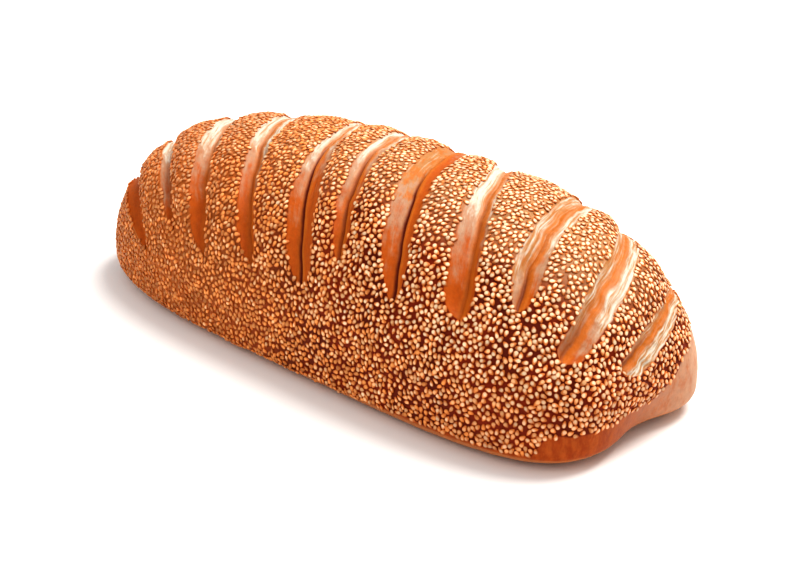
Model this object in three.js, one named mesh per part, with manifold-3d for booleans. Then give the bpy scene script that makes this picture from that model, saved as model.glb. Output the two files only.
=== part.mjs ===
// Whole wheat hearth loaf with a sesame crust, one solid, in millimetres with +Z up.
// X runs along the loaf, with its blunt, higher end at +X. Z = 0 is the flat base that it was baked on.
// The origin is the middle of that base.

import * as THREE from "three";
import { MeshSurfaceSampler } from "three/addons/math/MeshSurfaceSampler.js";
import { mergeVertices } from "three/addons/utils/BufferGeometryUtils.js";
import Module from "manifold-3d";

const { clamp, lerp, seededRandom, smoothstep } = THREE.MathUtils;

const wasm = await Module();
wasm.setup();

// The loaf's own sizes.
const LENGTH = 340;
const WIDTH = 141;
const HEIGHT = 100;
const BELLY_HEIGHT = 16; // the widest line, above the base
const UNDERCUT = 1.15; // how far the underside curls in, against the belly's height
const WIDTH_TAPER = -0.033; // share lost towards the blunt end
const HEIGHT_TAPER = 0.1115; // share gained towards the blunt end
const UPPER_ROUNDNESS = 0.91; // 1 is an ellipse, and less is squarer
const LOWER_ROUNDNESS = 0.479;
const BLUNT_END = { plan: 4.58, crest: 2.54 }; // superellipse powers
const ROUND_END = { plan: 3.19, crest: 2.76 };

// The slashes. A place on the crust is run, the millimetres along the crest from its middle, and turn,
// the angle round the loaf in radians from the crest, which is above 0 on the front side, at -Y.
// at is a slash's place on the crest, slant its run for each radian of turn and bend its run for each
// square radian, side and top its width on the front side and on the crest, crease where its deepest line
// lies across it, from 0 to 1, sharp how sharp that crease is, head and foot the turns at which it begins
// and ends, and taper the turn over which it narrows to its foot.
const SLASHES = [
  { at: -198, slant: 45, side: 25, top: 12, depth: 4.5, crease: 0.6,
    head: 0.2, foot: 1.37, sharp: 0.1, bend: 16 },
  { at: -160, slant: 66, side: 13, top: 16, depth: 4.5, crease: 0.55,
    head: -0.3, foot: 1.16, sharp: 0.3 },
  { at: -114, slant: 46, side: 16, top: 19, depth: 5, crease: 0.55,
    head: -0.8, foot: 1.25, sharp: 0.2, taper: 0.4 },
  { at: -75, slant: 44, side: 14, top: 18, depth: 4.5, crease: 0.42,
    head: -0.85, foot: 1.2, sharp: 0.3, taper: 0.3 },
  { at: -27, slant: 34, side: 20, top: 12, depth: 5, crease: 0.36,
    head: -0.9, foot: 1.2, sharp: 1, taper: 0.3 },
  { at: 3, slant: 31, side: 14, top: 14, depth: 4.5, crease: 0.38,
    head: -0.85, foot: 1, sharp: 0.6 },
  { at: 38, slant: 31, side: 19, top: 19, depth: 5.5, crease: 0.5,
    head: -0.95, foot: 1.08, sharp: 1 },
  { at: 74.5, slant: 42, side: 18, top: 14, depth: 5, crease: 0.6,
    head: -0.9, foot: 1, sharp: 0.3, taper: 0.2, bend: -10 },
  { at: 114, slant: 26, side: 18, top: 16, depth: 5.5, crease: 0.48,
    head: -0.95, foot: 0.74, sharp: 0.7, taper: 0.4 },
  { at: 153, slant: 33, side: 15, top: 19, depth: 5, crease: 0.38,
    head: -0.9, foot: 0.84, sharp: 0.3, taper: 0.2, bend: -24 },
  { at: 188, slant: 16, side: 14, top: 17, depth: 4.5, crease: 0.3,
    head: -1, foot: 0.38, sharp: 0.4, bend: -28 },
].map((slash) => ({ taper: 0.5, bend: 0, ...slash }));
const SLASH_HEAD = 0.5; // turn over which a slash narrows to its head
const SIDE_TURN = 0.6; // turn from which a slash has its side width
const WALL = 1.6; // power of the walls of a sharp slash, which round off into the crust
const SHALLOW_TOP = 0.3; // share of its depth that a slash keeps behind the crest
const PILLOW = 1.6; // rise of the crust between two slashes
const LUMPS = 0.9; // the crust's slow unevenness
const CALM_END = 40; // run from each tip over which that unevenness begins
const STRAIGHT_TURN = 1.7; // below this the mesh's lines turn back to the slash's place on the crest

// The blunt end's bottom edge curls up at one place, with a hollow under it.
const CURL = { side: 4, reach: 20, tuck: 6 }; // its y, how far it goes along the edge and how deep
const HOLLOW = { centre: [172, 4, -2.5], radii: [27, 32, 8] };

// The mesh of the crust.
const ACROSS_SLASH = [0, 0.45, 1, 1.5, 2]; // 0 to 1 is one wall, and 1 to 2 the other
const ACROSS_PILLOW = [0.25, 0.5, 0.75];
const ROUND_END_LINES = [0.03, 0.09, 0.18, 0.3, 0.46, 0.64, 0.82];
const BLUNT_END_LINES = [0.2, 0.4, 0.58, 0.74, 0.87, 0.96];
const NARROWEST = 0.45; // share of a slash's width that its mesh lines keep past its ends
const CREST_TURN = 1.44;
const CREST_ROWS = 22;
const LOWER_TURNS = [1.57, 1.82, 2.2, 2.6, 2.9, 3.09];

// The seeds that stand out of the crust.
const SEED = { length: 3.7, width: 2.4, thickness: 1.5, rise: 0.2 };
const SEED_TAPER = 0.3; // share by which a seed narrows to its point
const SEED_COUNT = 170;
const SEED_TRIES = 24; // places drawn for each seed, of which the loneliest is taken
const SEED_DRAW = 11; // starts the seeded draws
const SEED_CLEARANCE = 1.6; // from the edge of a slash
const BARE_FOOT = 4; // height over the base that is bare all round
const BARE_CENTRE = 105; // x of the point round which the blunt end's bare band turns

// A superellipse's height over its axis at a place from -1 to 1.
function profile(along, power) {
  return Math.max(0, 1 - Math.abs(along) ** power) ** (1 / power);
}

// The loaf without slashes at x and a turn round it.
function section(x, turn) {
  const along = (2 * x) / LENGTH;
  const end = along > 0 ? BLUNT_END : ROUND_END;
  const plan = profile(along, end.plan);
  const upper = Math.cos(turn) >= 0;
  const roundness = upper ? UPPER_ROUNDNESS : LOWER_ROUNDNESS;
  const rise = Math.abs(Math.cos(turn)) ** roundness;
  const reach = Math.sign(Math.sin(turn)) * Math.abs(Math.sin(turn)) ** roundness;
  const y = -(WIDTH / 2) * plan * (1 + WIDTH_TAPER * along) * reach;
  const dome = (HEIGHT - BELLY_HEIGHT) * profile(along, end.crest) * (1 + HEIGHT_TAPER * along);
  const z = BELLY_HEIGHT + (upper ? dome * rise : -BELLY_HEIGHT * UNDERCUT * plan * rise);
  return new THREE.Vector3(x, y, z);
}

// Pairs of x and run along the crest, closer together towards the ends.
function measureCrest() {
  const steps = 800;
  const crest = [];
  let run = 0;
  let last = section(-LENGTH / 2, 0);
  for (let i = 0; i <= steps; i++) {
    const here = section((LENGTH / 2) * Math.sin((i / steps - 0.5) * Math.PI), 0);
    run += here.distanceTo(last);
    crest.push({ x: here.x, run });
    last = here;
  }
  const middle = crest[steps / 2].run;
  return crest.map((place) => ({ x: place.x, run: place.run - middle }));
}

const CREST = measureCrest();
const FIRST_RUN = CREST[0].run;
const LAST_RUN = CREST[CREST.length - 1].run;

function xAt(run) {
  const next = CREST.findIndex((place) => place.run >= run);
  if (next <= 0) {
    return next === 0 ? CREST[0].x : LENGTH / 2;
  }
  const a = CREST[next - 1];
  const b = CREST[next];
  return lerp(a.x, b.x, (run - a.run) / (b.run - a.run));
}

function smoothSurface(run, turn) {
  return section(xAt(clamp(run, FIRST_RUN, LAST_RUN)), turn);
}

function outward(run, turn) {
  const along = smoothSurface(run + 0.5, turn).sub(smoothSurface(run - 0.5, turn));
  const around = smoothSurface(run, turn + 0.01).sub(smoothSurface(run, turn - 0.01));
  return around.cross(along).normalize();
}

// From 0 at a slash's head and foot to 1 along its middle.
function openness(slash, turn) {
  const inside = Math.min((turn - slash.head) / SLASH_HEAD, (slash.foot - turn) / slash.taper);
  return Math.sqrt(1 - (1 - clamp(inside, 0, 1)) ** 2);
}

function slashWidth(slash, turn) {
  return lerp(slash.top, slash.side, smoothstep(turn, 0, SIDE_TURN));
}

// The run of a slash's middle. Past its ends the line goes straight down, and under the loaf it comes
// back to the slash's place on the crest, where the two sides meet.
function slashMiddle(slash, turn) {
  const under = smoothstep(Math.abs(turn), STRAIGHT_TURN, Math.PI);
  const open = clamp(turn, slash.head, slash.foot);
  return slash.at + (slash.slant + slash.bend * open) * open * (1 - under);
}

function slashDepth(slash, run, turn) {
  const open = openness(slash, turn);
  const across = (run - slashMiddle(slash, turn)) / (slashWidth(slash, turn) * open) + 0.5;
  if (open === 0 || across <= 0 || across >= 1) {
    return 0;
  }
  const near = Math.min(across / slash.crease, (1 - across) / (1 - slash.crease));
  const wall = lerp(smoothstep(near, 0, 1), near ** WALL, slash.sharp);
  const top = lerp(SHALLOW_TOP, 1, smoothstep(turn, -0.2, 0.6));
  return slash.depth * top * open * wall;
}

// The crust swells between two slashes, as long as both are open.
function pillow(left, right, run, turn) {
  const start = slashMiddle(left, turn) + slashWidth(left, turn) / 2;
  const end = slashMiddle(right, turn) - slashWidth(right, turn) / 2;
  const share = clamp((run - start) / (end - start), 0, 1);
  return PILLOW * Math.sin(Math.PI * share) * Math.min(openness(left, turn), openness(right, turn));
}

function lumps(run, turn) {
  const upper = Math.max(0, Math.cos(turn));
  const slow = 0.4 * Math.sin(run / 30 + 1.7 * turn - 0.7) + Math.sin(run / 22 - 2.3 * turn + 1.6);
  return LUMPS * upper * slow * smoothstep(Math.min(run - FIRST_RUN, LAST_RUN - run), 0, CALM_END);
}

function relief(run, turn) {
  let height = lumps(run, turn);
  SLASHES.forEach((slash, i) => {
    height -= slashDepth(slash, run, turn);
    if (i > 0) {
      height += pillow(SLASHES[i - 1], slash, run, turn);
    }
  });
  return height;
}

// Draws in the blunt end above its curled edge.
function tuck(point) {
  const along = Math.exp(-(((point.y - CURL.side) / CURL.reach) ** 2)) * smoothstep(point.x, 120, 155);
  point.x -= CURL.tuck * along * (1 - smoothstep(point.z, 6, 28));
  return point;
}

function crustPoint(run, turn) {
  return tuck(smoothSurface(run, turn).addScaledVector(outward(run, turn), relief(run, turn)));
}

// The run of each of the mesh's lines at a turn, from one end of the loaf to the other.
function meshLines(turn) {
  const slashLines = SLASHES.map((slash) => {
    const width = slashWidth(slash, turn) * Math.max(openness(slash, turn), NARROWEST);
    const left = slashMiddle(slash, turn) - width / 2;
    return ACROSS_SLASH.map((place) => {
      return left + width * (place < 1 ? place * slash.crease : lerp(slash.crease, 1, place - 1));
    });
  });
  const between = (from, to, shares) => shares.map((share) => lerp(from, to, share));
  const lines = between(FIRST_RUN, slashLines[0][0], ROUND_END_LINES);
  slashLines.forEach((slash, i) => {
    const last = i === slashLines.length - 1;
    const next = last ? LAST_RUN : slashLines[i + 1][0];
    lines.push(...slash, ...between(slash[slash.length - 1], next, last ? BLUNT_END_LINES : ACROSS_PILLOW));
  });
  return lines;
}

function meshTurns() {
  const turns = [];
  for (let i = 0; i < CREST_ROWS; i++) {
    turns.push(CREST_TURN * ((2 * i) / (CREST_ROWS - 1) - 1));
  }
  const below = LOWER_TURNS.map((turn) => -turn).reverse();
  return [-Math.PI, ...below, ...turns, ...LOWER_TURNS];
}

// The crust as a closed mesh: rings of points round the loaf, and a point at each tip. Its uv holds each
// point's run and turn.
function crustGeometry() {
  const turns = meshTurns();
  const lines = turns.map(meshLines);
  const lineCount = lines[0].length;
  const positions = [];
  const places = [];
  for (let line = 0; line < lineCount; line++) {
    turns.forEach((turn, row) => {
      positions.push(...crustPoint(lines[row][line], turn).toArray());
      places.push(lines[row][line], turn);
    });
  }
  for (const x of [-LENGTH / 2, LENGTH / 2]) {
    positions.push(...tuck(new THREE.Vector3(x, 0, BELLY_HEIGHT)).toArray());
  }
  places.push(FIRST_RUN, 0, LAST_RUN, 0);
  const tips = [lineCount * turns.length, lineCount * turns.length + 1];
  const index = [];
  turns.forEach((_, row) => {
    const next = (row + 1) % turns.length;
    for (let line = 0; line < lineCount - 1; line++) {
      const here = line * turns.length;
      const beyond = here + turns.length;
      index.push(here + row, here + next, beyond + next);
      index.push(here + row, beyond + next, beyond + row);
    }
    const last = (lineCount - 1) * turns.length;
    index.push(tips[0], next, row);
    index.push(tips[1], last + row, last + next);
  });
  const geometry = new THREE.BufferGeometry();
  geometry.setAttribute("position", new THREE.Float32BufferAttribute(positions, 3));
  geometry.setAttribute("uv", new THREE.Float32BufferAttribute(places, 2));
  geometry.setIndex(index);
  return geometry;
}

function toSolid(geometry) {
  const bare = geometry.clone();
  bare.deleteAttribute("normal");
  bare.deleteAttribute("uv");
  const merged = mergeVertices(bare);
  return new wasm.Manifold(
    new wasm.Mesh({
      numProp: 3,
      vertProperties: Float32Array.from(merged.attributes.position.array),
      triVerts: Uint32Array.from(merged.index.array),
    }),
  );
}

function toGeometry(solid) {
  const mesh = solid.getMesh();
  const geometry = new THREE.BufferGeometry();
  geometry.setAttribute("position", new THREE.Float32BufferAttribute(mesh.vertProperties, 3));
  geometry.setIndex(new THREE.Uint32BufferAttribute(mesh.triVerts, 1));
  return geometry;
}

// All that lies under the baking surface, and the hollow under the curled edge.
function underBase() {
  const depth = 60;
  const box = new THREE.BoxGeometry(LENGTH * 1.2, WIDTH * 1.2, depth).translate(0, 0, -depth / 2);
  const hollow = new THREE.SphereGeometry(1, 24, 16).rotateX(Math.PI / 2).scale(...HOLLOW.radii);
  return toSolid(box).add(toSolid(hollow.translate(...HOLLOW.centre)));
}

// Height over the base up to which the crust has no seeds. The bare band is low on the front side, steps
// up at the blunt end, widens round that end and narrows again along the back.
function bareHeight(point) {
  const around = Math.atan2(point.y, point.x - BARE_CENTRE);
  const front = 5 * smoothstep(around, -2.9, -1.9);
  const blunt = 11 * smoothstep(around, -0.9, -0.78) + 21 * smoothstep(around, 0, 0.75);
  return BARE_FOOT + (front + blunt) * (1 - smoothstep(around, 1.2, 2.8));
}

function onSlash(run, turn) {
  return SLASHES.some((slash) => {
    const half = (slashWidth(slash, turn) * openness(slash, turn)) / 2;
    return half > 0 && Math.abs(run - slashMiddle(slash, turn)) < half + SEED_CLEARANCE;
  });
}

// A place on the crust that has seeds.
function drawSeedPlace(sampler) {
  const point = new THREE.Vector3();
  const up = new THREE.Vector3();
  const place = new THREE.Vector2();
  do {
    sampler.sample(point, up, undefined, place);
  } while (point.z < bareHeight(point) || onSlash(place.x, place.y));
  return { point, up };
}

// Places spread evenly: of several draws, the one furthest from all seeds so far is taken.
function seedPlaces(sampler) {
  const places = [];
  while (places.length < SEED_COUNT) {
    let best = { gap: -1 };
    for (let i = 0; i < SEED_TRIES; i++) {
      const place = drawSeedPlace(sampler);
      place.gap = Math.min(LENGTH, ...places.map((other) => other.point.distanceTo(place.point)));
      best = place.gap > best.gap ? place : best;
    }
    places.push(best);
  }
  return places;
}

// A flat drop-shaped seed, point towards +X.
function seedGeometry() {
  const geometry = new THREE.SphereGeometry(1, 6, 2).rotateZ(-Math.PI / 2);
  const position = geometry.attributes.position;
  for (let i = 0; i < position.count; i++) {
    const narrowing = 1 - SEED_TAPER * position.getX(i);
    position.setY(i, position.getY(i) * narrowing);
  }
  return geometry.scale(SEED.length / 2, SEED.width / 2, SEED.thickness / 2);
}

// A seed lying on the crust, with its point turned by heading.
function seedSolid({ point, up }, heading) {
  const along = new THREE.Vector3(1, 0, 0).cross(up).normalize().applyAxisAngle(up, heading);
  const side = up.clone().cross(along);
  const pose = new THREE.Matrix4().makeBasis(along, side, up);
  pose.setPosition(point.clone().addScaledVector(up, SEED.rise));
  return toSolid(seedGeometry().applyMatrix4(pose));
}

function seeds(crust) {
  seededRandom(SEED_DRAW);
  const sampler = new MeshSurfaceSampler(new THREE.Mesh(crust)).setRandomGenerator(seededRandom).build();
  const places = seedPlaces(sampler);
  return wasm.Manifold.union(places.map((place) => seedSolid(place, seededRandom() * 2 * Math.PI)));
}

function loaf() {
  const crust = crustGeometry();
  const solid = toSolid(crust).subtract(underBase()).add(seeds(crust));
  const baked = new THREE.MeshStandardMaterial({ color: 0xc27a3e, roughness: 0.7, metalness: 0 });
  const mesh = new THREE.Mesh(toGeometry(solid), baked);
  mesh.name = "loaf";
  return mesh;
}

const bread = new THREE.Group();
bread.add(loaf());

export default bread;
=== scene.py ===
"""Whole wheat hearth loaf: a slashed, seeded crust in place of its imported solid, on a plain stage.

The form is worked out in millimetres, as X along the loaf, -Y its front side and Z up from its base.
A place on the crust is its run, the millimetres along the crest from the middle of the loaf, and its
turn, the angle round the loaf in radians from the crest, above 0 on the front side.
"""

from typing import NamedTuple

import bpy
import numpy as np
from bpy.props import FloatProperty, FloatVectorProperty, IntProperty, PointerProperty
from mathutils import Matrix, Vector
from mathutils.kdtree import KDTree


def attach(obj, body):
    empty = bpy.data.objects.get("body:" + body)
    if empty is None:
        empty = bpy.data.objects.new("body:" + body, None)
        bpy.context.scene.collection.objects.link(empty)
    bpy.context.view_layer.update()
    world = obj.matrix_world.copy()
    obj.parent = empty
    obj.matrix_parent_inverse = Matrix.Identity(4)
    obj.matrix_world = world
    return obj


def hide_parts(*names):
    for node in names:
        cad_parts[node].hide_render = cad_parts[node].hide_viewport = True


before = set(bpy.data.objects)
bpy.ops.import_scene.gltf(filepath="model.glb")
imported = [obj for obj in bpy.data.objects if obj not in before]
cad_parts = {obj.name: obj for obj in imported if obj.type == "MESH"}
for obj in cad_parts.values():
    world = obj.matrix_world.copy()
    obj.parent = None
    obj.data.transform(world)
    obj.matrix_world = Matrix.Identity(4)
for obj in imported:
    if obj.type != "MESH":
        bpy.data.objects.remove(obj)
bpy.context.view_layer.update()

bl_info = {
    "name": "Hearth loaf",
    "version": (1, 0, 0),
    "blender": (4, 5, 0),
    "location": "3D View > Sidebar > Bread",
    "description": "A slashed whole wheat loaf with sesame seeds, and the stage it is shown on",
    "category": "Object",
}

MM = 0.001  # the form's millimetres in metres


# ---------------------------------------------------------------- what a user would change


def length_property(name, description, default):
    return FloatProperty(name=name, description=description, default=default, min=0.0, unit="LENGTH")


def colour_property(name, description, default):
    return FloatVectorProperty(
        name=name, description=description, default=default, subtype="COLOR", size=3, min=0.0, max=1.0
    )


class LoafSizes(bpy.types.PropertyGroup):
    """The loaf's own sizes."""

    length: length_property("Length", "From tip to tip", 0.340)
    width: length_property("Width", "Across the belly", 0.141)
    height: length_property("Height", "Base to crest at the loaf's middle", 0.100)
    belly: length_property("Belly", "Height of the widest line", 0.016)
    pillow: length_property("Pillow", "Rise of the crust between two slashes", 0.0016)
    lip: length_property("Lip", "Rise of the crust's edge along a slash", 0.0007)


class SeedSizes(bpy.types.PropertyGroup):
    """A sesame seed and how densely the seeds lie."""

    length: length_property("Length", "From end to point", 0.00325)
    width: length_property("Width", "Across the widest place", 0.0023)
    thickness: length_property("Thickness", "Through the middle", 0.0011)
    spacing: length_property("Spacing", "Least distance between two seeds", 0.00225)
    draw: IntProperty(name="Draw", description="Starts the seeded draws", default=7)


class CrustColours(bpy.types.PropertyGroup):
    """The baked crust's colours."""

    # The land colour is the crust's own dark bake, darkened further as painted shade between the seeds.
    land: colour_property("Land", "Crust under the seeds", (0.23, 0.025, 0.002))
    scorched: colour_property("Scorched", "Darkest patches under the seeds", (0.12, 0.012, 0.001))
    light: colour_property("Light land", "Crust under the seeds at the round end", (0.48, 0.155, 0.035))
    # The crest colour is painted light: the crust along the crest is lightened where the light falls
    # brightest.
    crest: colour_property("Crest", "Crust under the seeds along the crest", (0.50, 0.265, 0.12))
    slash: colour_property("Slash", "Smooth crust low in a slash", (0.46, 0.105, 0.009))
    # Painted sheen: the smooth walls high in a slash are painted pinkish, a highlight standing in for
    # their gloss.
    painted_sheen: colour_property("Sheen", "Smooth crust high in a slash", (0.46, 0.27, 0.17))
    # The crease colour is the deepest crust's darker bake together with painted shade in the crease.
    crease: colour_property("Crease", "Deepest line of a slash", (0.14, 0.015, 0.004))
    ridge: colour_property("Ridge", "Torn edge beside the crease", (0.52, 0.155, 0.019))
    crumb: colour_property("Crumb", "Pale crumb at the top of a slash", (0.67, 0.61, 0.51))
    toast: colour_property("Toast", "Darker flecks of the crumb", (0.46, 0.215, 0.08))
    bare: colour_property("Bare", "Seedless band along the base", (0.32, 0.055, 0.005))
    flushed: colour_property("Flushed", "The band's lighter streaks", (0.44, 0.105, 0.016))
    # Painted light: the band at the back of the blunt end is lightened where it faces the main light.
    tan: colour_property("Tan", "The band at the back of the blunt end", (0.56, 0.32, 0.20))
    # The rim colour is partly the lower edge's paler bake and partly a painted reflection of the floor.
    rim_and_glint: colour_property("Rim", "The band's lighter lower edge", (0.60, 0.26, 0.10))
    base: colour_property("Base", "Underside baked on the hearth", (0.30, 0.10, 0.03))


class SeedColours(bpy.types.PropertyGroup):
    """The four bakes of the seeds, and what changes them."""

    pale: colour_property("Pale", "Least baked seeds", (0.86, 0.64, 0.42))
    cream: colour_property("Cream", "Lightly baked seeds", (0.86, 0.50, 0.25))
    golden: colour_property("Golden", "Well baked seeds", (0.80, 0.33, 0.09))
    toasted: colour_property("Toasted", "Darkest seeds", (0.56, 0.21, 0.045))
    # The side colour and the paler tops are partly the seeds' own colours and partly a painted
    # highlight on their tops.
    side: colour_property("Side", "The seeds' darker sides", (0.58, 0.17, 0.025))
    # Painted haze: seeds high on the round end are paled where the bright light over the crest falls.
    painted_haze: colour_property("Dusty", "Seeds high on the round end", (0.58, 0.38, 0.25))


class StageLook(bpy.types.PropertyGroup):
    """Floor and lights."""

    floor: colour_property("Floor", "Colour of the plain floor", (0.93, 0.93, 0.93))
    key: FloatProperty(name="Key", description="Power of the main light", default=29.0, unit="POWER")
    fill: FloatProperty(name="Fill", description="Power of the fill light", default=7.5, unit="POWER")
    air: FloatProperty(name="Air", description="Strength of the light from all round", default=0.5)


class HearthLoaf(bpy.types.PropertyGroup):
    """All settings of the loaf."""

    loaf: PointerProperty(type=LoafSizes)
    seed: PointerProperty(type=SeedSizes)
    crust: PointerProperty(type=CrustColours)
    seed_colours: PointerProperty(type=SeedColours)
    stage: PointerProperty(type=StageLook)


# ---------------------------------------------------------------- the loaf's form

UNDERCUT = 1.15  # depth of the underside's curve against the belly's height; the flat base cuts it off
WIDTH_TAPER = -0.033  # share lost towards the blunt end
HEIGHT_TAPER = 0.1115  # share gained towards the blunt end
UPPER_ROUNDNESS = 0.91  # 1 is an ellipse, and less is squarer
LOWER_ROUNDNESS = 0.479
BLUNT_PLAN, BLUNT_CREST = 4.58, 2.54  # superellipse powers of the end at +X
ROUND_PLAN, ROUND_CREST = 3.19, 2.76  # and of the other
# Painted light is brightest along this turn.
CREST_TURN = -0.15  # the turn at which the crust under the seeds is lightest

LUMPS = 0.9  # height of the crust's slow unevenness
LUMP_WAVES = (  # its waves: share, run for a radian of the wave, radians for each of turn, and start
    (0.4, 30, 1.7, -0.7),
    (1.0, 22, -2.3, 1.6),
)
CALM_END = 40  # run from each tip over which that unevenness begins
LAND_GRAIN, LAND_GRAIN_SIZE = 0.12, 6  # height and size of the finer unevenness between the slashes

SLASH_HEAD = 0.5  # turn over which a slash narrows to its head
SIDE_TURN = 0.6  # turn from which a slash has its side width
DEEPENING = (-0.2, 0.6)  # turns between which a slash gets its full depth
SHALLOW_TOP = 0.3  # share of that depth that it has behind them
WALL = 1.6  # power of the walls of a sharp slash, which round off into the crust
RAGGED, RAGGED_SIZE = 1.1, 7  # how far a slash's edges stray, and the size of what strays
LIP_OUTSIDE, LIP_INSIDE = 2.6, 1.0  # how far a slash's raised edge reaches to its two sides
RIDGE = 1.5  # height of the torn edge beside a crease
RIDGE_PAST, RIDGE_WIDTH = 2.8, 1.8  # how far past the crease it lies, and how wide it is
RIDGE_INSIDE = 1.5  # how far inside a slash it is there in full
RIGHT_SIDE = (0.5, 2.5)  # how far past the crease a slash's left side turns into its right one
GRAIN, GRAIN_SIZE, GRAIN_STRETCH = 0.25, 1.1, 12  # height and size of a slash's grain, longer along it
INSIDE = 0.7  # how far inside a slash its crumb is there in full
OUTSIDE = -3.0  # how far inside a slash a place counts that is far from it
CRUMB = 0.55  # height of the torn crumb's knobs
TORN_TURN, TORN_PAST = (-0.15, 0.15), (-1, 2)  # turns and distances past the crease over which it tears
KNOBS = ((1.0, 0, 4.5), (1.0, 0, 2.3), (0.5, 50, 1.2))  # the knobs' shares, shifts and sizes
GIRTH = 70.0  # the run that is about as long as a radian of turn

BARE_LEAST = 4  # least height of the seedless band
BARE_CENTRE = 105  # x of the point that the angles of the band's rises are measured round
BARE_FRONT = (5, -2.9, -1.9)  # a rise along the front, and the angles between which it grows
BARE_CORNER = (11, -0.9, -0.78)  # the next, at the blunt end's front corner
BARE_END = (21, 0, 0.75)  # and the last, round that end
BARE_FALL = (1.2, 2.8)  # the angles between which all three end, along the back
BARE_STRAY, BARE_STRAY_SIZE = 1.6, 7  # how far the band's edge strays, and the size of what strays

CURL_SIDE, CURL_REACH = 4, 20  # where the blunt end's bottom edge curls up, and how far along it
CURL_START = (120, 155)  # x between which the curl begins
CURL_TUCK = 6  # how far the end is drawn in at that edge
CURL_TOP = (6, 28)  # heights between which it is drawn in less and less
ARCH_CENTRE, ARCH_RADII = (172, 4, -2.5), (27, 32, 8)  # the hollow under that edge

FINE_TURN, SIDE_END = 1.5, 2.3  # turns at which the mesh's lines get farther apart
STRAIGHT_TURN = 1.7  # turn past which those lines go back to a slash's place on the crest
LEAST_OPEN = 0.45  # least share of its width that a slash has in the mesh
GATHER = 1.6  # power by which the mesh's lines gather at the tips


class Slash(NamedTuple):
    at: float  # its place on the crest
    slant: float  # its run for each radian of turn
    side: float  # its width on the front side
    top: float  # and on the crest
    depth: float
    crease: float  # where its deepest line lies across it, from 0 to 1
    head: float  # the turn at which it begins, behind the crest
    foot: float  # and ends, in front
    # The dark of the crease is partly painted shade.
    sharp: float  # how sharp and dark its crease is, from 0 to 1
    pale: float  # its left side is pale from this turn up
    torn: float  # and its right side is torn crumb from this one up
    toasted: float = 0.0  # how far its crumb is toasted, from 0 to 1, mostly on the left
    taper: float = 0.5  # turn over which it narrows to its foot
    bend: float = 0.0  # its further run for each square radian of turn


SLASHES = (
    Slash(
        at=-198, slant=45, side=25, top=12, depth=4.5, crease=0.60, head=0.2, foot=1.37,
        sharp=0.1, pale=-0.2, torn=-0.5, bend=16,
    ),
    Slash(
        at=-160, slant=66, side=13, top=16, depth=4.5, crease=0.55, head=-0.3, foot=1.16,
        sharp=0.3, pale=0.65, torn=0.3,
    ),
    Slash(
        at=-114, slant=46, side=16, top=19, depth=5.0, crease=0.55, head=-0.8, foot=1.25,
        sharp=0.2, pale=0.45, torn=0.4, taper=0.4,
    ),
    Slash(
        at=-75, slant=44, side=14, top=18, depth=4.5, crease=0.42, head=-0.85, foot=1.2,
        sharp=0.3, pale=0.35, torn=0.45, taper=0.3,
    ),
    Slash(
        at=-27, slant=34, side=20, top=12, depth=5.0, crease=0.36, head=-0.9, foot=1.2,
        sharp=1, pale=0.38, torn=0.1, taper=0.3,
    ),
    Slash(
        at=3, slant=31, side=14, top=14, depth=4.5, crease=0.38, head=-0.85, foot=1.0,
        sharp=0.6, pale=0.32, torn=0.1,
    ),
    Slash(
        at=38, slant=31, side=19, top=19, depth=5.5, crease=0.50, head=-0.95, foot=1.08,
        sharp=1, pale=0.4, torn=-0.6, toasted=1,
    ),
    Slash(
        at=74.5, slant=42, side=18, top=14, depth=5.0, crease=0.60, head=-0.9, foot=1.0,
        sharp=0.3, pale=0.3, torn=0.2, taper=0.2, bend=-10,
    ),
    Slash(
        at=114, slant=26, side=18, top=16, depth=5.5, crease=0.48, head=-0.95, foot=0.74,
        sharp=0.7, pale=0.62, torn=0.25, toasted=0.5, taper=0.4,
    ),
    Slash(
        at=153, slant=33, side=15, top=19, depth=5.0, crease=0.38, head=-0.9, foot=0.84,
        sharp=0.3, pale=0.55, torn=0.35, toasted=0.5, taper=0.2, bend=-24,
    ),
    Slash(
        at=188, slant=16, side=14, top=17, depth=4.5, crease=0.30, head=-1.0, foot=0.38,
        sharp=0.4, pale=0.1, torn=0.5, toasted=0.7, bend=-28,
    ),
)


def smoothstep(low, high, value):
    share = np.clip((value - low) / (high - low), 0, 1)
    return share * share * (3 - 2 * share)


def lerp(a, b, share):
    return a + (b - a) * share


def unit(vectors):
    return vectors / np.maximum(np.linalg.norm(vectors, axis=-1, keepdims=True), 1e-9)


class Noise:
    """Smooth seeded noise from -1 to 1 over points in space."""

    SIZE = 32

    def __init__(self, seed):
        self.values = np.random.default_rng(seed).uniform(-1, 1, (self.SIZE,) * 3)

    def __call__(self, points, scale):
        places = np.asarray(points) / scale
        corner = np.floor(places).astype(int)
        share = places - corner
        share = share * share * (3 - 2 * share)
        total = 0
        for step in np.ndindex(2, 2, 2):
            weight = np.prod(np.where(step, share, 1 - share), axis=-1)
            index = (corner + step) % self.SIZE
            total = total + weight * self.values[index[..., 0], index[..., 1], index[..., 2]]
        return total


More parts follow.
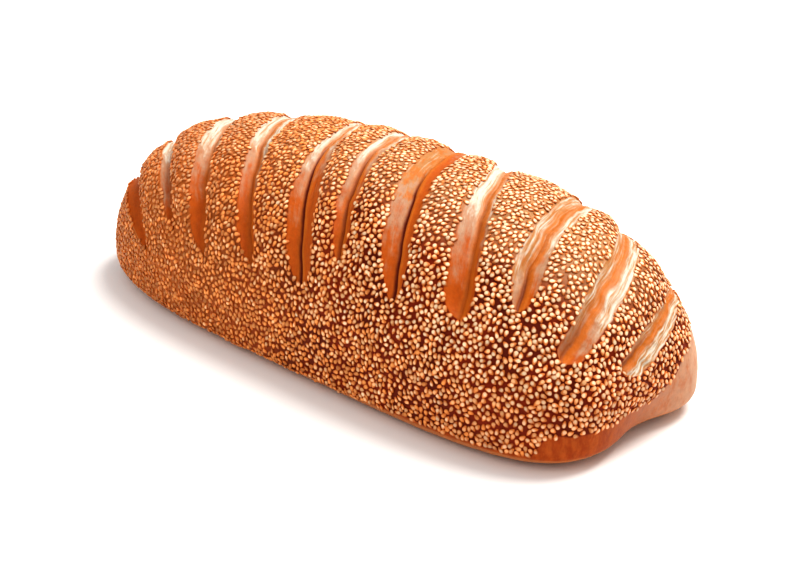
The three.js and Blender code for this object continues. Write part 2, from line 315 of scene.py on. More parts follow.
class Form:
    """The loaf's surface, for arrays of run and turn."""

    CREST_STEPS = 1600

    def __init__(self, sizes):
        self.length = sizes.length / MM
        self.width = sizes.width / MM
        self.height = sizes.height / MM
        self.belly = sizes.belly / MM
        self.pillow = sizes.pillow / MM
        self.lip = sizes.lip / MM
        self.noise = Noise(3)
        self.measure_crest()

    def measure_crest(self):
        """The run of every x, along the crest from the middle of the loaf."""
        angles = np.linspace(-0.5, 0.5, self.CREST_STEPS + 1) * np.pi
        self.crest_x = self.length / 2 * np.sin(angles)
        crest = self.section(self.crest_x, np.zeros_like(angles))
        steps = np.linalg.norm(np.diff(crest, axis=0), axis=1)
        run = np.concatenate([[0], np.cumsum(steps)])
        self.crest_run = run - run[self.CREST_STEPS // 2]
        self.first_run, self.last_run = self.crest_run[0], self.crest_run[-1]

    def section(self, x, turn):
        """The loaf without slashes at x and a turn round it."""
        along = 2 * x / self.length
        near = along > 0

        def profile(power):
            return np.maximum(0, 1 - np.abs(along) ** power) ** (1 / power)

        plan = profile(np.where(near, BLUNT_PLAN, ROUND_PLAN))
        crest = profile(np.where(near, BLUNT_CREST, ROUND_CREST))
        cos, sin = np.cos(turn), np.sin(turn)
        upper = cos >= 0
        roundness = np.where(upper, UPPER_ROUNDNESS, LOWER_ROUNDNESS)
        rise = np.abs(cos) ** roundness
        reach = np.sign(sin) * np.abs(sin) ** roundness
        y = -self.width / 2 * plan * (1 + WIDTH_TAPER * along) * reach
        dome = (self.height - self.belly) * crest * (1 + HEIGHT_TAPER * along)
        z = self.belly + np.where(upper, dome, -self.belly * UNDERCUT * plan) * rise
        return np.stack(np.broadcast_arrays(x, y, z), axis=-1)

    def smooth_point(self, run, turn):
        return self.section(np.interp(run, self.crest_run, self.crest_x), turn)

    def outward(self, run, turn):
        along = self.smooth_point(run + 0.5, turn) - self.smooth_point(run - 0.5, turn)
        around = self.smooth_point(run, turn + 0.01) - self.smooth_point(run, turn - 0.01)
        return unit(np.cross(around, along))

    def openness(self, slash, turn):
        """From 0 at a slash's head and foot to 1 along its middle."""
        inside = np.minimum((turn - slash.head) / SLASH_HEAD, (slash.foot - turn) / slash.taper)
        return np.sqrt(1 - (1 - np.clip(inside, 0, 1)) ** 2)

    def slash_width(self, slash, turn):
        return lerp(slash.top, slash.side, smoothstep(0, SIDE_TURN, turn))

    def slash_middle(self, slash, turn):
        """The run of a slash's middle, which goes straight down past the slash's ends."""
        under = smoothstep(STRAIGHT_TURN, np.pi, np.abs(turn))
        open_turn = np.clip(turn, slash.head, slash.foot)
        return slash.at + (slash.slant + slash.bend * open_turn) * open_turn * (1 - under)

    def lumps(self, run, turn):
        upper = np.maximum(0, np.cos(turn))
        slow = 0
        for share, length, twist, start in LUMP_WAVES:
            slow = slow + share * np.sin(run / length + twist * turn + start)
        ends = np.minimum(run - self.first_run, self.last_run - run)
        return LUMPS * upper * slow * smoothstep(0, CALM_END, ends)

    def pillows(self, run, turn):
        """The crust swells between two slashes, as long as both are open."""
        height = 0
        for left, right in zip(SLASHES, SLASHES[1:]):
            start = self.slash_middle(left, turn) + self.slash_width(left, turn) / 2
            end = self.slash_middle(right, turn) - self.slash_width(right, turn) / 2
            share = np.clip((run - start) / (end - start), 0, 1)
            both = np.minimum(self.openness(left, turn), self.openness(right, turn))
            height = height + self.pillow * np.sin(np.pi * share) * both
        return height

    def slash_relief(self, slash, run, turn):
        """Height of a slash, and where each place lies in it, as a dict of arrays."""
        opened = self.openness(slash, turn)
        width = np.maximum(self.slash_width(slash, turn) * opened, 0.01)
        along = turn * GIRTH
        at = np.full_like(run, slash.at)
        offset = run - self.slash_middle(slash, turn)
        offset = offset + RAGGED * self.noise(np.stack([offset / 2, along, at], axis=-1), RAGGED_SIZE)
        across = offset / width + 0.5
        near = np.clip(np.minimum(across / slash.crease, (1 - across) / (1 - slash.crease)), 0, 1)
        wall = lerp(smoothstep(0, 1, near), near**WALL, slash.sharp)
        inner = np.where(opened > 0, (0.5 - np.abs(across - 0.5)) * width, OUTSIDE)
        past = (across - slash.crease) * width
        grain = self.noise(np.stack([offset, along / GRAIN_STRETCH, at], axis=-1), GRAIN_SIZE)
        lip = self.lip * np.exp(-((inner / np.where(inner < 0, LIP_OUTSIDE, LIP_INSIDE)) ** 2))
        torn_edge = np.exp(-(((past - RIDGE_PAST) / RIDGE_WIDTH) ** 2))
        ridge = slash.sharp * RIDGE * torn_edge * smoothstep(0, RIDGE_INSIDE, inner)
        depth = slash.depth * lerp(SHALLOW_TOP, 1, smoothstep(*DEEPENING, turn))
        height = (lip + ridge - depth * wall) * opened + GRAIN * grain * smoothstep(0, INSIDE, inner)
        pale = lerp(slash.pale, slash.torn, smoothstep(*RIGHT_SIDE, past)) - turn
        places = {"inner": inner, "past": past, "along": along, "at": at, "pale": pale}
        for key in ("sharp", "toasted"):
            places[key] = np.full_like(run, getattr(slash, key))
        return height, places

    def bare_height(self, points):
        """Height over the base up to which the crust has no seeds."""
        around = np.arctan2(points[..., 1], points[..., 0] - BARE_CENTRE)

        def rise(height, start, end):
            return height * smoothstep(start, end, around)

        blunt = rise(*BARE_CORNER) + rise(*BARE_END)
        return BARE_LEAST + (rise(*BARE_FRONT) + blunt) * (1 - smoothstep(*BARE_FALL, around))

    def lift(self, x, y):
        """Height of the base over the floor, in the hollow under the curled edge."""
        away = ((x - ARCH_CENTRE[0]) / ARCH_RADII[0]) ** 2 + ((y - ARCH_CENTRE[1]) / ARCH_RADII[1]) ** 2
        dome = np.sqrt(np.maximum(0, 1 - away))
        return np.maximum(0, ARCH_CENTRE[2] + ARCH_RADII[2] * dome)

    def curl(self, points):
        """The blunt end's bottom edge curls up."""
        x, y, z = np.moveaxis(points, -1, 0)
        share = np.exp(-(((y - CURL_SIDE) / CURL_REACH) ** 2)) * smoothstep(*CURL_START, x)
        x = x - CURL_TUCK * share * (1 - smoothstep(*CURL_TOP, z))
        return np.stack([x, y, np.maximum(z, self.lift(x, y))], axis=-1)

    def crust(self, run, turn):
        """Points of the crust, and its masks as a dict of arrays."""
        run, turn = np.broadcast_arrays(np.asarray(run, float), np.asarray(turn, float))
        smooth = self.smooth_point(run, turn)
        height = self.lumps(run, turn) + self.pillows(run, turn)
        keys = ("past", "along", "at", "pale", "sharp", "toasted")
        masks = {key: np.zeros_like(run) for key in keys}
        masks["inner"] = np.full_like(run, OUTSIDE)
        for slash in SLASHES:
            relief, places = self.slash_relief(slash, run, turn)
            height = height + relief
            nearer = places["inner"] > masks["inner"]
            masks = {key: np.where(nearer, places[key], masks[key]) for key in masks}
        inside = smoothstep(0, INSIDE, masks["inner"])
        torn = inside * smoothstep(*TORN_TURN, masks["pale"]) * smoothstep(*TORN_PAST, masks["past"])
        rough = sum(share * self.noise(smooth + shift, size) for share, shift, size in KNOBS)
        height = height + CRUMB * torn * rough
        height = height + LAND_GRAIN * self.noise(smooth, LAND_GRAIN_SIZE) * (1 - inside)
        points = smooth + height[..., None] * self.outward(run, turn)
        edge = self.bare_height(points) + BARE_STRAY * self.noise(points, BARE_STRAY_SIZE)
        masks["bare"] = edge - points[..., 2]
        # how far a place is from the crest's line, along which painted light lightens the crust under
        # the seeds
        masks["off_lit_crest"] = np.abs(turn - CREST_TURN)
        return self.curl(points), masks

    def slash_mesh_width(self, slash, turn):
        return self.slash_width(slash, turn) * np.maximum(self.openness(slash, turn), LEAST_OPEN)

    def mesh_lines(self, turn, slash_steps, pillow_steps, end_steps):
        """Runs of the mesh's lines at each turn, from tip to tip, along the edges of every slash."""
        edges = [np.full_like(turn, self.first_run)]
        counts = []
        for slash in SLASHES:
            middle = self.slash_middle(slash, turn)
            half = self.slash_mesh_width(slash, turn) / 2
            edges += [middle - half, middle + half]
            counts += [pillow_steps, slash_steps]
        edges.append(np.full_like(turn, self.last_run))
        counts[0] = end_steps
        counts.append(end_steps)
        lines = []
        for i, count in enumerate(counts):
            shares = np.arange(count) / count
            if i == 0:
                shares = shares**GATHER
            if i == len(counts) - 1:
                shares = 1 - (1 - shares) ** GATHER
            lines += [lerp(edges[i], edges[i + 1], share) for share in shares]
        return np.stack(lines[1:])


# ---------------------------------------------------------------- meshes


def make_piece(name, points, faces, attributes, material):
    """Adds a smooth piece from points in millimetres, arrays of faces and the points' attributes."""
    mesh = bpy.data.meshes.new(name)
    mesh.vertices.add(len(points))
    mesh.vertices.foreach_set("co", (points * MM).astype(np.float32).ravel())
    sizes = np.concatenate([np.full(len(part), part.shape[1]) for part in faces])
    mesh.loops.add(int(sizes.sum()))
    corners = np.concatenate([part.ravel() for part in faces])
    mesh.loops.foreach_set("vertex_index", corners.astype(np.int32))
    mesh.polygons.add(len(sizes))
    mesh.polygons.foreach_set("loop_start", (np.cumsum(sizes) - sizes).astype(np.int32))
    for key, values in attributes.items():
        attribute = mesh.attributes.new(key, "FLOAT", "POINT")
        attribute.data.foreach_set("value", np.asarray(values, np.float32).ravel())
    mesh.update(calc_edges=True)
    mesh.shade_smooth()
    mesh.materials.append(material)
    piece = bpy.data.objects.new(name, mesh)
    bpy.context.scene.collection.objects.link(piece)
    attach(piece, "root")
    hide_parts("loaf")


def mesh_turns(upper_lines=146, side_lines=20, under_lines=13):
    """Turns round the loaf, closer together over the crest than underneath."""
    upper = np.linspace(-FINE_TURN, FINE_TURN, upper_lines)
    side = np.linspace(FINE_TURN, SIDE_END, side_lines)[1:]
    reach = np.linspace(np.sin(SIDE_END) ** LOWER_ROUNDNESS, 0, under_lines)[1:-1]
    under = np.pi - np.arcsin(reach ** (1 / LOWER_ROUNDNESS))
    below = np.concatenate([side, under])
    return np.concatenate([[-np.pi], -below[::-1], upper, below])


def tube_faces(rings, sides, first, tips):
    """Quads between closed rings of points, and a fan of triangles from a tip at each end."""
    ring = np.arange(sides)
    beyond = np.roll(ring, -1)
    start = first + np.arange(rings - 1)[:, None] * sides
    corners = [start + ring, start + beyond, start + sides + beyond, start + sides + ring]
    quads = np.stack(corners, axis=-1).reshape(-1, 4)
    last = first + (rings - 1) * sides
    first_fan = np.stack([np.full(sides, tips[0]), first + beyond, first + ring], axis=-1)
    last_fan = np.stack([np.full(sides, tips[1]), last + ring, last + beyond], axis=-1)
    return [quads, np.concatenate([first_fan, last_fan])]


# ---------------------------------------------------------------- the seeds

SEED_TRIES = 170_000  # places drawn, of which those are kept that are far enough apart
SEED_INSIDE = 0.2  # how far inside a slash the seeds reach
SEED_LOWEST = 1  # height over the base from which there are seeds
SEED_ROOM = 0.95  # share of its width that a seed keeps free of others
SEED_TAPER = 0.34  # how strongly a seed narrows towards its point


def scatter(points, spacing):
    """Indices of points that keep that spacing, taken in their order."""
    across = 4096  # more cells than the loaf is long
    weights = np.array([across * across, across, 1])
    cells = (np.floor(points / spacing).astype(int) + across // 2) @ weights
    steps = [int((np.array(step) - 1) @ weights) for step in np.ndindex(3, 3, 3)]
    least = spacing**2
    taken = {}
    chosen = []
    for index, (point, cell) in enumerate(zip(points.tolist(), cells.tolist())):
        x, y, z = point
        near = (other for step in steps for other in taken.get(cell + step, ()))
        if all((x - a) ** 2 + (y - b) ** 2 + (z - c) ** 2 >= least for a, b, c in near):
            taken.setdefault(cell, []).append(point)
            chosen.append(index)
    return np.array(chosen)


def read_points(data, key, kind=float, size=3):
    values = np.empty(len(data) * size, kind)
    data.foreach_get(key, values)
    return values.reshape(-1, size) if size > 1 else values


def seed_places(crust, spacing, draws):
    """Points and normals of the seeds, spread over the crust outside its slashes and bare band."""
    mesh = crust.data
    mesh.calc_loop_triangles()
    points = read_points(mesh.vertices, "co") / MM
    normals = read_points(mesh.vertices, "normal")
    inner = read_points(mesh.attributes["inner"].data, "value", size=1)
    bare = read_points(mesh.attributes["bare"].data, "value", size=1)
    corners = read_points(mesh.loop_triangles, "vertices", np.int32)
    first, second, third = (points[corners[:, i]] for i in range(3))
    area = np.linalg.norm(np.cross(second - first, third - first), axis=-1)
    outside = (inner[corners].mean(1) < SEED_INSIDE) & (bare[corners].mean(1) < 0)
    seeded = outside & (first[:, 2] > SEED_LOWEST)
    share = np.cumsum(area * seeded)
    chosen = np.searchsorted(share, draws.uniform(0, share[-1], SEED_TRIES))
    a, b = draws.uniform(0, 1, (2, SEED_TRIES))
    over = a + b > 1
    a, b = np.where(over, 1 - a, a), np.where(over, 1 - b, b)
    weights = np.stack([1 - a - b, a, b], axis=-1)[..., None]
    places = np.sum(points[corners[chosen]] * weights, axis=1)
    up = unit(np.sum(normals[corners[chosen]] * weights, axis=1))
    kept = scatter(places, spacing)
    return places[kept], up[kept]


def settle_headings(points, ahead, side, seed, draws, nearest=7, rounds=6, choices=12):
    """Headings that keep neighbouring seeds from lying across each other."""
    count = len(points)
    tree = KDTree(count)
    for index, point in enumerate(points):
        tree.insert(point, index)
    tree.balance()
    found = [tree.find_n(point, nearest + 1) for point in points]
    neighbours = np.array([[index for _, index, _ in near[1:]] for near in found])
    arm = (seed.length - seed.width) / MM / 2
    room = seed.width / MM * SEED_ROOM
    heading = draws.uniform(0, np.pi, count)

    def ends(angles):
        axis = ahead * np.cos(angles)[:, None] + side * np.sin(angles)[:, None]
        return np.stack([points - axis * arm, points, points + axis * arm], axis=1)

    for _ in range(rounds):
        others = ends(heading)[neighbours].reshape(count, -1, 3)
        best = np.full(count, np.inf)
        chosen = heading.copy()
        for turned in np.linspace(0, np.pi, choices, endpoint=False):
            angles = heading + turned
            gaps = np.linalg.norm(ends(angles)[:, :, None] - others[:, None], axis=-1)
            cost = np.sum(np.maximum(0, room - gaps) ** 2, axis=(1, 2))
            better = cost < best
            best = np.where(better, cost, best)
            chosen = np.where(better, angles, chosen)
        moved = draws.uniform(0, 1, count) < 0.5  # half of them at a time, so that they don't swing
        heading = np.where(moved, chosen, heading)
    return heading + np.pi * (draws.uniform(0, 1, count) < 0.5)


def seed_shape(seed, sides=8, rings=4):
    """A drop-shaped seed, with its point at +X: its points, its faces, and the points from -1 to 1."""
    angles = np.linspace(0, 2 * np.pi, sides, endpoint=False)
    places = -np.cos(np.linspace(0, np.pi, rings + 2)[1:-1])
    radii = np.sqrt(1 - places**2) * (1 - SEED_TAPER * places)
    ring_y = radii[:, None] * np.cos(angles)
    ring_z = radii[:, None] * np.sin(angles)
    round_points = np.stack(np.broadcast_arrays(places[:, None], ring_y, ring_z), axis=-1)
    points = np.concatenate([[[-1, 0, 0]], round_points.reshape(-1, 3), [[1, 0, 0]]])
    size = np.array([seed.length, seed.width, seed.thickness]) / MM / 2
    inward = tube_faces(rings, sides, 1, (0, len(points) - 1))
    outward = [np.roll(part[:, ::-1], 1, axis=1) for part in inward]
    return points * size, outward, points


# ---------------------------------------------------------------- finishes


class Value:
    """A shader socket that adds a Math node for each operator it is used with."""

    def __init__(self, tree, socket):
        self.tree = tree
        self.socket = socket

    def math(self, operation, first, second=0.0):
        node = self.tree.nodes.new("ShaderNodeMath")
        node.operation = operation
        feed(self.tree, node.inputs[0], first)
        feed(self.tree, node.inputs[1], second)
        return Value(self.tree, node.outputs[0])

    def __add__(self, other):
        return self.math("ADD", self, other)

    def __sub__(self, other):
        return self.math("SUBTRACT", self, other)

    def __rsub__(self, other):
        return self.math("SUBTRACT", other, self)

    def __mul__(self, other):
        return self.math("MULTIPLY", self, other)

    def __abs__(self):
        return self.math("ABSOLUTE", self)

    __radd__ = __add__
    __rmul__ = __mul__


def feed(tree, socket, value):
    """Links a Value to a socket, or sets the socket to a number, vector or colour."""
    if isinstance(value, Value):
        tree.links.new(value.socket, socket)
    elif hasattr(value, "__len__") and socket.type == "RGBA" and len(value) == 3:
        socket.default_value = (*value, 1.0)
    else:
        socket.default_value = value


class Finish:
    """A material whose nodes are added one call at a time."""

    def __init__(self, name):
        self.material = bpy.data.materials.new(name)
        self.material.use_nodes = True
        self.tree = self.material.node_tree
        self.tree.nodes.clear()

    def node(self, kind, settings=(), inputs=(), output=0):
        node = self.tree.nodes.new(kind)
        for key, value in dict(settings).items():
            setattr(node, key, value)
        for key, value in dict(inputs).items():
            feed(self.tree, node.inputs[key], value)
        return Value(self.tree, node.outputs[output]) if node.outputs else None

    def place(self):
        return self.node("ShaderNodeTexCoord", output=3)

    def axis(self, name):
        return self.node("ShaderNodeSeparateXYZ", inputs={"Vector": self.place()}, output=name)

    def attribute(self, name):
        return self.node("ShaderNodeAttribute", {"attribute_name": name}, output=2)

    def joined(self, x, y, z):
        return self.node("ShaderNodeCombineXYZ", inputs={"X": x, "Y": y, "Z": z})

    def noise(self, scale, detail=3.0, roughness=0.55, vector=None):
        vector = vector or self.place()
        inputs = {"Vector": vector, "Scale": scale, "Detail": detail, "Roughness": roughness}
        return self.node("ShaderNodeTexNoise", inputs=inputs)

    def between(self, low, high, value):
        """From 0 at low to 1 at high, smoothly."""
        inputs = {"Value": value, "From Min": low, "From Max": high}
        return self.node("ShaderNodeMapRange", {"interpolation_type": "SMOOTHSTEP"}, inputs)

    def mix(self, factor, first, second, blend="MIX"):
        settings = {"data_type": "RGBA", "blend_type": blend}
        return self.node("ShaderNodeMix", settings, {0: factor, 6: first, 7: second}, output=2)

    def shaded(self, colour, level):
        return self.mix(1.0, colour, self.joined(level, level, level), blend="MULTIPLY")

    def bump(self, height, distance, strength=1.0, normal=None):
        inputs = {"Height": height, "Distance": distance, "Strength": strength}
        if normal:
            inputs["Normal"] = normal
        return self.node("ShaderNodeBump", inputs=inputs)

    def surface(self, inputs):
        shader = self.node("ShaderNodeBsdfPrincipled", inputs=inputs)
        self.node("ShaderNodeOutputMaterial", inputs={"Surface": shader})
        return self.material


def land_colour(finish, colours, x, z):
    """The crust under the seeds, lighter at the round end, with painted light along the crest and
    painted shade in its dark colour.
    """
    broad = finish.noise(28, detail=4)
    scorched = finish.between(0.38, 0.66, broad)
    round_end = finish.between(0.05, -0.13, x)
    # painted light: the crust under the seeds is lightened high along the crest
    crest = finish.between(0.85, 0.15, finish.attribute("off_lit_crest") + 0.6 * (broad - 0.5))
    high = finish.between(0.05, 0.09, z)
    land = finish.mix(scorched, colours.land, colours.scorched)
    land = finish.mix(round_end, land, colours.light)
    return finish.mix(crest * high, land, colours.crest)


def slash_colour(finish, colours, inner, past, streak, patch):
    """Smooth crust low in a slash, painted sheen higher up and crumb high in it, with its crease
    darkened as painted shade, its ridge, warm painted shade beside the crease, and its edges in the low
    crust's colour.
    """
    pale, sharp, toasted = (finish.attribute(key) for key in ("pale", "sharp", "toasted"))
    height = pale + 0.5 * (streak - 0.5) + 0.9 * (patch - 0.5)
    left = finish.between(2.5, 0.5, past)

    browned = finish.between(0.42, 0.72, streak + toasted * (0.1 + 0.15 * left))
    flecks = finish.between(0.45, 0.62, patch) * toasted * left
    crumb = finish.mix(browned, colours.crumb, colours.toast)
    crumb = finish.mix(flecks * 0.8, crumb, colours.ridge)

    # painted sheen: the smooth wall turns pinkish higher up, a highlight painted into its colour
    painted_sheen = finish.between(-0.5, 0.03, height)
    wall = finish.mix(painted_sheen, colours.slash, colours.painted_sheen)
    wall = finish.mix(finish.between(-0.06, 0.16, height), wall, crumb)

    # painted shade: beside the crease the wall is painted orange, warm where it lies in shade
    warm_crease_shade = finish.between(3.0, 0.5, abs(past + 1.5 * (patch - 0.5)))
    wall = finish.mix(warm_crease_shade * (0.75 - 0.4 * toasted), wall, colours.ridge)
    right = past + 3.0 * (patch - 0.5)
    ridge = finish.between(0.4, 1.3, right) * finish.between(5.2, 3.2, right)
    wall = finish.mix(ridge * 0.85, wall, colours.ridge)

    low = finish.between(0.4, 0.0, pale)
    # painted shade: the crease is darkened below the slash's pale part, the more the sharper it is
    crease = finish.between(1.7, 0.3, abs(past + 1.2 * (patch - 0.5)))
    wall = finish.mix(crease * low * sharp, wall, colours.crease)
    edge = finish.between(1.3, 0.2, inner)
    return finish.mix(edge * 0.5, wall, colours.slash)


def band_colour(finish, colours, x, y, z):
    """The seedless band, streaked, with painted light on the back of the blunt end and its lighter
    lower edge, which is partly a painted reflection.
    """
    streaks = finish.joined(x * 230, y * 230, z * 110)
    drips = finish.noise(1.0, detail=5, roughness=0.7, vector=streaks)
    band = finish.mix(finish.between(0.35, 0.68, drips), colours.bare, colours.flushed)
    tan = finish.mix(finish.between(0.45, 0.7, drips) * 0.5, colours.tan, colours.flushed)
    # painted light on the back of the blunt end, which faces the main light
    lit_blunt_back = finish.between(-0.04, 0.05, y) * finish.between(0.1, 0.15, x)
    # partly the paler lower edge, partly a painted reflection of the floor
    rim_and_glint = finish.between(0.0085, 0.006, z)
    band = finish.mix(lit_blunt_back, band, tan)
    return finish.mix(rim_and_glint * 0.7, band, colours.rim_and_glint)


def crust_finish(colours):
    """The land, with the slashes and the seedless band over it where their masks say."""
    finish = Finish("baked_crust")
    inner, past, along, at = (finish.attribute(key) for key in ("inner", "past", "along", "at"))
    x, y, z = (finish.axis(name) for name in "XYZ")
    fine = finish.noise(420, detail=5, roughness=0.65)
    blisters = finish.noise(170, detail=2)
    streak = finish.noise(1.0, vector=finish.joined(past * 0.8, along * 0.06, at))
    patch = finish.noise(1.0, vector=finish.joined(past * 0.30, along * 0.13, at))

    land = land_colour(finish, colours, x, z)
    wall = slash_colour(finish, colours, inner, past, streak, patch)
    band = band_colour(finish, colours, x, y, z)
    in_slash = finish.between(0.1, 0.7, inner + 0.8 * (fine - 0.5))
    in_band = finish.between(-0.6, 0.6, finish.attribute("bare"))
    underneath = finish.between(0.0005, 0.0001, z)
    colour = finish.mix(in_slash, land, wall)
    colour = finish.mix(in_band, colour, band)
    colour = finish.mix(underneath, colour, colours.base)

    relief = finish.bump(fine, 0.0004, 0.5)
    relief = finish.bump(blisters + streak, 0.0006, 0.4, relief)
    return finish.surface(
        {
            "Base Color": finish.shaded(colour, 0.72 + 0.5 * fine),
            "Roughness": 0.36 + 0.3 * fine,
            "Normal": relief,
            "Subsurface Weight": 0.05,
            "Subsurface Radius": (0.006, 0.003, 0.0015),
            "Specular IOR Level": 0.15,
        }
    )


def seed_finish(name, colour, colours):
    """Seeds with tops painted lighter, partly their paler middles and partly a painted highlight, with
    painted haze high on the round end and painted shade low at the blunt end, each with a tint of its
    own, for one of the bakes.
    """
    finish = Finish(name)
    tint, tip, top = (finish.attribute(key) for key in ("tint", "tip", "top"))
    x, z = finish.axis("X"), finish.axis("Z")
    fine = finish.noise(900, detail=2)
    # painted haze: the seeds high on the round end are paled as if by light
    haze_high_at_round_end = finish.between(-0.03, -0.10, x) * finish.between(0.045, 0.08, z)
    # painted shade: the lowest seeds at the blunt end are darkened towards their side colour
    shade_low_at_blunt_end = finish.between(0.05, 0.13, x) * finish.between(0.055, 0.02, z)
    # the tops are painted lighter, partly their paler middles and partly a painted highlight
    pale_and_lit_top = finish.between(0.45, 1.0, top - 0.25 * tip + 0.4 * (fine - 0.5))
    skin = finish.mix(haze_high_at_round_end * 0.5, colour, colours.painted_haze)
    skin = finish.mix(shade_low_at_blunt_end * 0.4, skin, colours.side)
    skin = finish.mix(pale_and_lit_top, colours.side, skin)
    return finish.surface(
        {
            "Base Color": finish.shaded(skin, 0.75 + 0.4 * tint),
            "Roughness": 0.34 + 0.2 * fine,
            "Normal": finish.bump(fine, 0.0002, 0.4),
            "Subsurface Weight": 0.1,
            "Subsurface Radius": (0.002, 0.0012, 0.0007),
        }
    )


def floor_finish(colour):
    finish = Finish("pale_floor")
    grain = finish.noise(3, detail=2)
    shade = finish.mix(grain * 0.02, colour, (1.0, 1.0, 1.0))
    return finish.surface({"Base Color": shade, "Roughness": 0.9, "Specular IOR Level": 0.1})


# ---------------------------------------------------------------- operators


class BREAD_OT_camera(bpy.types.Operator):
    """Set the camera at the photograph's angle"""

    bl_idname = "bread.camera"
    bl_label = "Camera"

    PLACE = (0.62713, -0.60934, 0.42045)
    AZIMUTH, ELEVATION = 45.18, 24.25  # degrees
    LENS = 86.0

    def execute(self, context):
        data = bpy.data.cameras.new("camera")
        data.lens = self.LENS
        data.clip_start, data.clip_end = 0.01, 50
        camera = bpy.data.objects.new("camera", data)
        context.scene.collection.objects.link(camera)
        azimuth, elevation = np.radians(self.AZIMUTH), np.radians(self.ELEVATION)
        level = np.cos(elevation)
        back = Vector((np.sin(azimuth) * level, -np.cos(azimuth) * level, np.sin(elevation)))
        camera.location = self.PLACE
        camera.rotation_mode = "QUATERNION"
        camera.rotation_quaternion = (-back).to_track_quat("-Z", "Y")
        context.scene.camera = camera
        return {"FINISHED"}


class BREAD_OT_crust(bpy.types.Operator):
    """Make the baked crust with its slashes"""

    bl_idname = "bread.crust"
    bl_label = "Crust"

    def execute(self, context):
        settings = context.scene.hearth_loaf
        form = Form(settings.loaf)
        turns = mesh_turns()
        runs = form.mesh_lines(turns, slash_steps=18, pillow_steps=18, end_steps=28)
        points, masks = form.crust(runs, turns)
        tips = form.curl(np.array([[-1, 0, 0], [1, 0, 0]]) * form.length / 2 + [0, 0, form.belly])
        all_points = np.concatenate([points.reshape(-1, 3), tips])
        # each tip has the masks of a point next to it
        attributes = {
            key: np.append(values.ravel(), values[[0, -1], 0]) for key, values in masks.items()
        }
        faces = tube_faces(*runs.shape, 0, (runs.size, runs.size + 1))
        make_piece("crust", all_points, faces, attributes, crust_finish(settings.crust))
        return {"FINISHED"}


class BREAD_OT_seeds(bpy.types.Operator):
    """Lay the sesame seeds on the crust"""

    bl_idname = "bread.seeds"
    bl_label = "Sesame seeds"

    SIDEWAYS = (0.3, 1.0, 0.1)  # the direction that a seed's heading is measured from
    LEAN, ROLL = 0.10, 0.16  # how far a seed tips up or down and to its sides
    LIFT = 0.2  # share of a seed's thickness by which its middle lies over the crust
    SIZE_SPREAD = 0.07  # share by which a seed's sizes stray
    BAKES = {"pale": 0.24, "cream": 0.26, "golden": 0.27, "toasted": 0.23}  # from least to most baked
    PATCH, PATCH_SHARE = 14, 0.5  # size of the patches of seeds baked alike, and how much they show
    BAKE_SPREAD = 0.8  # how much one seed's bake differs from the next one's
    DARKENING = 0.016  # how much the bake grows for each millimetre towards the round end
    # Painted light and shade: paler seeds high up, darker ones low down.
    SHADE_DOWNWARD = 1.6  # how much more it grows for a millimetre down

    def lay(self, points, up, shape, seed, draws):
        """The points of every seed, lying at its place on the crust."""
        count = len(points)
        ahead = unit(np.cross(up, self.SIDEWAYS))
        side = np.cross(up, ahead)
        heading = settle_headings(points, ahead, side, seed, draws)
        axis = ahead * np.cos(heading)[:, None] + side * np.sin(heading)[:, None]
        axis = unit(axis + up * draws.normal(0, self.LEAN, (count, 1)))
        up = unit(up - axis * np.sum(up * axis, axis=-1, keepdims=True))
        up = unit(up + np.cross(up, axis) * draws.normal(0, self.ROLL, (count, 1)))
        turned = np.stack([axis, np.cross(up, axis), up], axis=1)
        size = 1 + draws.normal(0, self.SIZE_SPREAD, (count, 1, 3))
        middle = points + up * (seed.thickness / MM * self.LIFT)
        return np.einsum("spi,sij->spj", shape[None] * size, turned) + middle[:, None]

    def sort_by_bake(self, points, seed, draws):
        """Indices of the seeds of each bake, from least to most baked; the order pales them high up and
        darkens them low down as painted light and shade.
        """
        patches = Noise(seed.draw)(points, self.PATCH) * self.PATCH_SHARE
        bake = patches + draws.normal(0, self.BAKE_SPREAD, len(points))
        order = np.argsort(bake - self.DARKENING * (points[:, 0] + self.SHADE_DOWNWARD * points[:, 2]))
        ends = (np.cumsum(list(self.BAKES.values())) * len(points)).astype(int)
        return np.split(order, ends[:-1])

    def execute(self, context):
        settings = context.scene.hearth_loaf
        seed, colours = settings.seed, settings.seed_colours
        draws = np.random.default_rng(seed.draw)
        points, up = seed_places(bpy.data.objects["crust"], seed.spacing / MM, draws)
        shape, faces, places = seed_shape(seed)
        cloud = self.lay(points, up, shape, seed, draws)
        for kind, chosen in zip(self.BAKES, self.sort_by_bake(points, seed, draws)):
            start = (np.arange(len(chosen)) * len(shape))[:, None, None]
            attributes = {
                "tint": np.repeat(draws.uniform(0, 1, len(chosen)), len(shape)),
                "tip": np.tile(places[:, 0], len(chosen)),
                "top": np.tile(places[:, 2], len(chosen)),
            }
            make_piece(
                f"seeds_{kind}",
                cloud[chosen].reshape(-1, 3),
                [(part[None] + start).reshape(-1, part.shape[1]) for part in faces],
                attributes,
                seed_finish(f"{kind}_sesame", getattr(colours, kind), colours),
            )
        return {"FINISHED"}


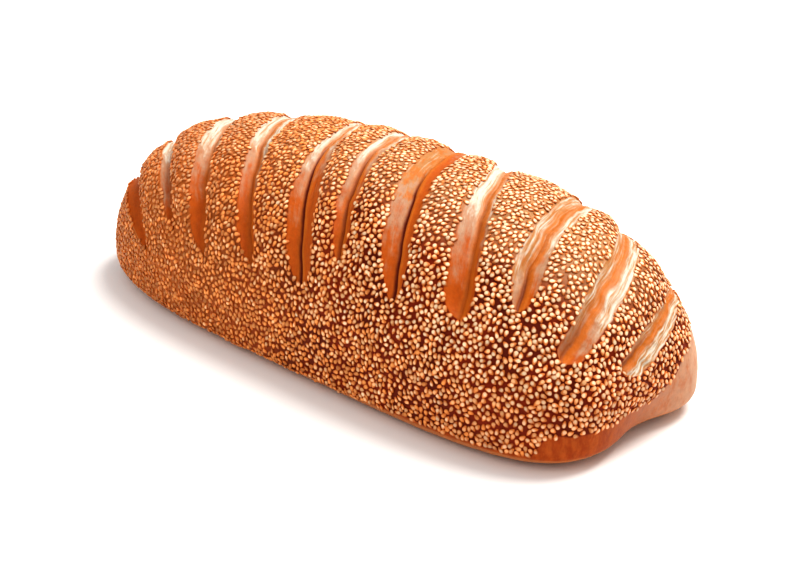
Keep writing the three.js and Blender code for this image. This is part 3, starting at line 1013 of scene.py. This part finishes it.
class BREAD_OT_stage(bpy.types.Operator):
    """Make the plain floor and the soft lights"""

    bl_idname = "bread.stage"
    bl_label = "Stage"

    FLOOR_HALF = 6.0
    FLOOR_DROP = 0.0001  # below the base, so that the two faces don't fight
    KEY = (1.1, (0.25, 0.75, 1.6), (1.0, 0.97, 0.93))  # size, place and colour of the main light
    FILL = (1.6, (0.45, -1.55, 1.35), (1.0, 0.98, 0.96))

    def light(self, context, name, power, size, place, colour):
        data = bpy.data.lights.new(name, "AREA")
        data.energy = power
        data.shape = "DISK"
        data.size = size
        data.color = colour
        lamp = bpy.data.objects.new(name, data)
        lamp.location = place
        lamp.rotation_mode = "QUATERNION"
        lamp.rotation_quaternion = (-Vector(place)).to_track_quat("-Z", "Y")
        context.scene.collection.objects.link(lamp)

    def execute(self, context):
        look = context.scene.hearth_loaf.stage
        half, drop = self.FLOOR_HALF, -self.FLOOR_DROP
        mesh = bpy.data.meshes.new("floor")
        corners = [(-half, -half, drop), (half, -half, drop), (half, half, drop), (-half, half, drop)]
        mesh.from_pydata(corners, [], [(0, 1, 2, 3)])
        mesh.materials.append(floor_finish(look.floor))
        floor = bpy.data.objects.new("floor", mesh)
        context.scene.collection.objects.link(floor)
        self.light(context, "key", look.key, *self.KEY)
        self.light(context, "fill", look.fill, *self.FILL)
        world = bpy.data.worlds.new("air")
        world.use_nodes = True
        background = world.node_tree.nodes["Background"]
        background.inputs["Color"].default_value = (1.0, 1.0, 1.0, 1.0)
        background.inputs["Strength"].default_value = look.air
        context.scene.world = world
        context.scene.view_settings.view_transform = "Standard"
        context.scene.view_settings.look = "High Contrast"
        return {"FINISHED"}


class BREAD_PT_loaf(bpy.types.Panel):
    """Lists the steps in which the loaf is made"""

    bl_idname = "BREAD_PT_loaf"
    bl_label = "Hearth loaf"
    bl_space_type = "VIEW_3D"
    bl_region_type = "UI"
    bl_category = "Bread"

    def draw(self, context):
        settings = context.scene.hearth_loaf
        for operator in OPERATORS:
            self.layout.operator(operator.bl_idname)
        for key in settings.__annotations__:
            group = getattr(settings, key)
            box = self.layout.box()
            for name in group.__annotations__:
                box.prop(group, name)


OPERATORS = (BREAD_OT_camera, BREAD_OT_crust, BREAD_OT_seeds, BREAD_OT_stage)
GROUPS = (LoafSizes, SeedSizes, CrustColours, SeedColours, StageLook, HearthLoaf)


def register():
    for item in (*GROUPS, *OPERATORS, BREAD_PT_loaf):
        bpy.utils.register_class(item)
    bpy.types.Scene.hearth_loaf = PointerProperty(type=HearthLoaf)


def unregister():
    del bpy.types.Scene.hearth_loaf
    for item in reversed((*GROUPS, *OPERATORS, BREAD_PT_loaf)):
        bpy.utils.unregister_class(item)


def main():
    register()
    bpy.ops.bread.camera()
    bpy.ops.bread.crust()
    bpy.ops.bread.seeds()
    bpy.ops.bread.stage()


if __name__ == "__main__":
    main()
